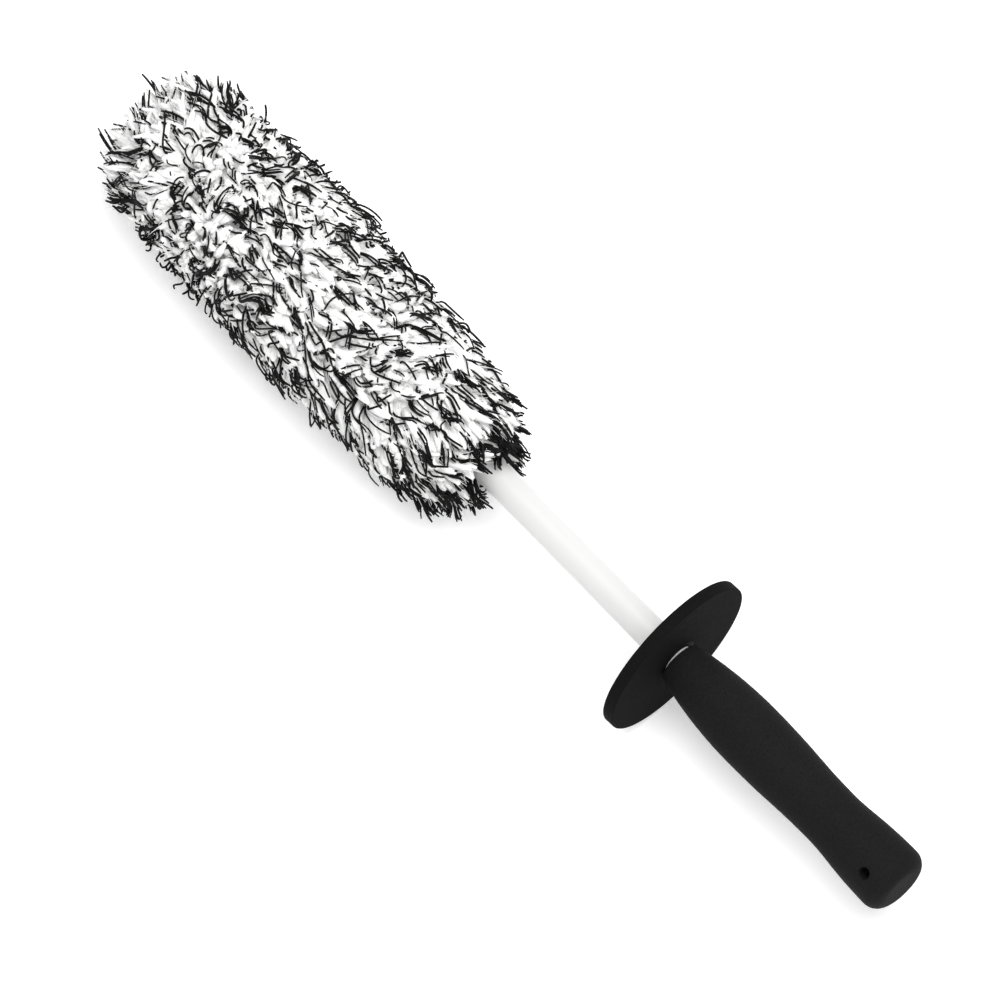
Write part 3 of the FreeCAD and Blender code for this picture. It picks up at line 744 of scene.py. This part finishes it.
def add_core(material):
    low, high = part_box("core_sleeve")
    outer, bore = node_outer("core_sleeve"), SHAFT_RADIUS + FIT
    front, back = low.x + 0.1 * MM, high.x - FIT
    loop = rounded([(front, bore), (back, bore), (back, outer), (front, outer)], 1.2 * MM, 1.6 * MM)
    mesh = lathe("foam_sleeve", loop, FOAM_SEGMENTS, foam_relief)
    sleeve = add_piece("foam_sleeve", mesh, material, "handle", ["core_sleeve"])
    low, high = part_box("core_tip_pad")
    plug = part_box("shaft_tip_plug")[0].x - 0.1 * MM
    line = np.concatenate([dome(low.x, high.x - 0.8 * MM, outer), [
        (high.x - 0.3 * MM, outer - 0.3 * MM), (high.x, outer - 1 * MM),
        (high.x, bore), (plug, bore), (plug, 0),
    ]])
    mesh = lathe("foam_tip", line, FOAM_SEGMENTS, foam_relief, poles=True)
    pad = add_piece("foam_tip", mesh, material, "handle", ["core_tip_pad"])
    return sleeve, pad


def add_grip(material):
    """The grip's own shape, remade in fine even faces and given the slight unevenness of moulded foam."""
    made = bpy.data.objects.new("grip_source", nodes["grip"].data.copy())
    bpy.context.scene.collection.objects.link(made)
    remesh = made.modifiers.new("even", "REMESH")
    remesh.mode = "VOXEL"
    remesh.voxel_size = 0.65 * MM
    graph = bpy.context.evaluated_depsgraph_get()
    mesh = bpy.data.meshes.new_from_object(made.evaluated_get(graph))
    bpy.data.objects.remove(made)
    mesh.name = "foam_grip"
    count = len(mesh.vertices)
    points = np.zeros(count * 3, np.float32)
    normals = np.zeros(count * 3, np.float32)
    mesh.vertices.foreach_get("co", points)
    mesh.vertices.foreach_get("normal", normals)
    points, normals = points.reshape(-1, 3), normals.reshape(-1, 3)
    fine, coarse = 700, 160
    height = [noise.noise(Vector(p) * fine) + 0.6 * noise.noise(Vector(p) * coarse) for p in points]
    radius = np.hypot(points[:, 1], points[:, 2] - AXIS_Z)
    outside = radius > SHAFT_RADIUS + 1 * MM
    points = points + normals * (np.array(height) * 0.05 * MM * outside)[:, None]
    mesh.vertices.foreach_set("co", points.astype(np.float32).ravel())
    mesh.materials.clear()
    mesh.update()
    mesh.shade_smooth()
    return add_piece("foam_grip", mesh, material, "handle", ["grip"])


# ---------------------------------------------------------------- the stage


def view_direction(azimuth, elevation):
    a, e = math.radians(azimuth), math.radians(elevation)
    return Vector((-math.sin(a) * math.cos(e), math.cos(a) * math.cos(e), -math.sin(e)))


def add_camera():
    camera = bpy.data.cameras.new("camera")
    camera.lens = CAMERA_LENS
    camera.sensor_width = 36
    camera.clip_end = 40
    made = bpy.data.objects.new("camera", camera)
    bpy.context.scene.collection.objects.link(made)
    look = view_direction(CAMERA_AZIMUTH, CAMERA_ELEVATION)
    made.location = CAMERA_TARGET - look * CAMERA_DISTANCE
    made.rotation_euler = look.to_track_quat("-Z", "Y").to_euler()
    bpy.context.scene.camera = made


def add_floor():
    size = 3
    points = [(-size, -size, 0), (size, -size, 0), (size, size, 0), (-size, size, 0)]
    mesh = mesh_from("floor", points, [(0, 1, 2, 3)], smooth=False)
    m = Material("floor_paper", 0.9, Emission_Color=(1, 1, 1, 1), Emission_Strength=0.2)
    colour = m.ramp(m.noise(3), (0.3, grey(0.95)), (0.7, grey(0.97)))
    mesh.materials.append(m.finish(colour))
    floor = bpy.data.objects.new("floor", mesh)
    bpy.context.scene.collection.objects.link(floor)


def add_light(name, place, size, power):
    light = bpy.data.lights.new(name, "AREA")
    light.energy = power
    light.size = size
    made = bpy.data.objects.new(name, light)
    bpy.context.scene.collection.objects.link(made)
    made.location = place
    made.rotation_euler = (LIGHT_TARGET - made.location).to_track_quat("-Z", "Y").to_euler()


def add_world(strength):
    world = bpy.data.worlds.new("studio")
    world.use_nodes = True
    background = world.node_tree.nodes["Background"]
    background.inputs["Color"].default_value = (1, 1, 1, 1)
    background.inputs["Strength"].default_value = strength
    bpy.context.scene.world = world


add_camera()
add_floor()
add_world(strength=0.78)
add_light("key", place=(0.7, 1.0, 1.5), size=1.4, power=3)
add_light("front", place=(0.3, 0.08, 1.85), size=1.3, power=29)
bpy.context.scene.view_settings.view_transform = "Standard"


# ---------------------------------------------------------------- the brush


def dress(node, material):
    """Give a piece of the CAD model its final material."""
    slots = nodes[node].material_slots
    if not slots:
        nodes[node].data.materials.append(material)
    for one in slots:
        one.material = material


white = white_fibre()
black = black_fibre()
plug = soft_rubber("plug_plastic", 0.02, 0.035)
dress("shaft_tube", white_tube())
dress("shaft_tip_plug", plug)
dress("shaft_butt_plug", plug)
dress("core_stop_collar", plug)
dress("guard_disc", guard_rubber())
dress("guard_grommet", soft_rubber("grommet_rubber", 0.004, 0.008, 0.03))

cloth, tape, foam = knit_cloth(), dark_tape(), core_foam()
knit_tube, knit_size = add_backing(cloth)
knit_neck = add_neck(cloth)
knit_panel = add_tip_panel(cloth)
hem = add_hem(tape, soft_rubber("elastic_rubber", 0.02, 0.05))
side_thread, tip_thread, hem_thread = add_stitching(thread())
foam_sleeve, foam_tip = add_core(foam)
foam_grip = add_grip(grip_foam())

add_underfur(white)
add_white_pile(white)
add_black_pile(black)
